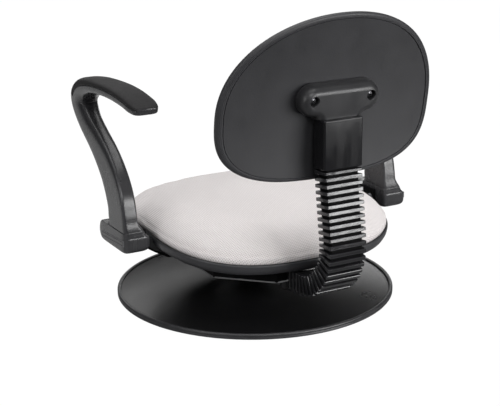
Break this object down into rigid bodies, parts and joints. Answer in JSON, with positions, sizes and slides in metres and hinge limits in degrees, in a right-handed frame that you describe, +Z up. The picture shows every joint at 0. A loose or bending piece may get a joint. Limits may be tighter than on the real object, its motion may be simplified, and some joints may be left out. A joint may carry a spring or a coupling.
{
  "type": "swivel chair",
  "caption": "Low floor-level swivel chair with a round domed base, padded seat and back, open C-shaped arms and a ribbed boot over its back bar.",
  "frame": {"origin": "on the floor, on the swivel axis, at the middle of the base's underside", "axes": "+Z up along the swivel axis, the sitter faces -Y, the sitter's left is +X"},
  "size_m": [0.5358, 0.5191, 0.4969],
  "materials": {
    "base_paint": "satin black powder coat",
    "base_trim": "moulded edge band, dark grey",
    "under_plate": "black, unseen",
    "race_steel": "zinc plated",
    "fastener_steel": "zinc plated",
    "black_screws": "blackened",
    "pan_paint": "satin black",
    "knob_plastic": "moulded, fine grain",
    "seat_shell_plastic": "moulded, fine grain, charcoal",
    "back_shell_plastic": "moulded, fine grain, charcoal",
    "arm_plastic": "satin moulding, charcoal",
    "cover_plastic": "satin moulding, near black",
    "sleeve_plastic": "glossy black",
    "boot_rubber": "glossy black, moulded ribs",
    "bar_steel": "black, under the boot",
    "board_wood": "plywood, unseen",
    "cushion_fabric": "fine diagonal mesh weave, warm pale grey"
  },
  "bodies": {
    "base": {"base_floor_plate": "under_plate", "base_dome": "base_paint", "base_edge_trim": "base_trim", "pedestal_column": "base_paint", "swivel_lower_race": "race_steel", "race_screw_1": "fastener_steel", "race_screw_2": "fastener_steel", "race_screw_3": "fastener_steel", "race_screw_4": "fastener_steel", "swivel_ball_cage": "race_steel", "swivel_king_bolt": "fastener_steel", "swivel_king_nut": "fastener_steel"},
    "seat": {"swivel_upper_race": "race_steel", "mechanism_pan": "pan_paint", "bar_guide": "pan_paint", "guide_weld_nut": "fastener_steel", "seat_shell": "seat_shell_plastic", "seat_board": "board_wood", "seat_cushion": "cushion_fabric", "seat_screw_1": "fastener_steel", "seat_screw_2": "fastener_steel", "seat_screw_3": "fastener_steel", "seat_screw_4": "fastener_steel", "arm_left": "arm_plastic", "arm_right": "arm_plastic", "arm_bracket_left": "pan_paint", "arm_bracket_right": "pan_paint", "arm_bolt_left_1": "black_screws", "arm_bolt_left_2": "black_screws", "arm_bolt_right_1": "black_screws", "arm_bolt_right_2": "black_screws", "bracket_screw_left_1": "black_screws", "bracket_screw_left_2": "black_screws", "bracket_screw_right_1": "black_screws", "bracket_screw_right_2": "black_screws"},
    "knob": {"depth_knob": "knob_plastic", "depth_knob_stud": "fastener_steel"},
    "bar": {"back_bar": "bar_steel", "bellows": "boot_rubber"},
    "back": {"back_sleeve": "sleeve_plastic", "sleeve_latch_spring": "fastener_steel", "back_bracket_cover": "cover_plastic", "back_mount_plate": "fastener_steel", "back_screw_1": "black_screws", "back_screw_2": "black_screws", "back_shell": "back_shell_plastic", "back_board": "board_wood", "back_cushion": "cushion_fabric"}
  },
  "joints": [
    {"name": "seat_swivel", "type": "hinge", "parent": "base", "child": "seat", "pos_m": [0, 0, 0.085], "axis": [0, 0, 1], "continuous": true},
    {"name": "back_depth", "type": "slide", "parent": "seat", "child": "bar", "axis": [0, 1, 0], "range_m": [0, 0.03]},
    {"name": "back_height", "type": "slide", "parent": "bar", "child": "back", "axis": [0, 0, 1], "range_m": [0, 0.04]},
    {"name": "knob_turn", "type": "hinge", "parent": "seat", "child": "knob", "pos_m": [0, 0.118, 0.0467], "axis": [0, 0, 1], "range_deg": [-720, 90]}
  ]
}
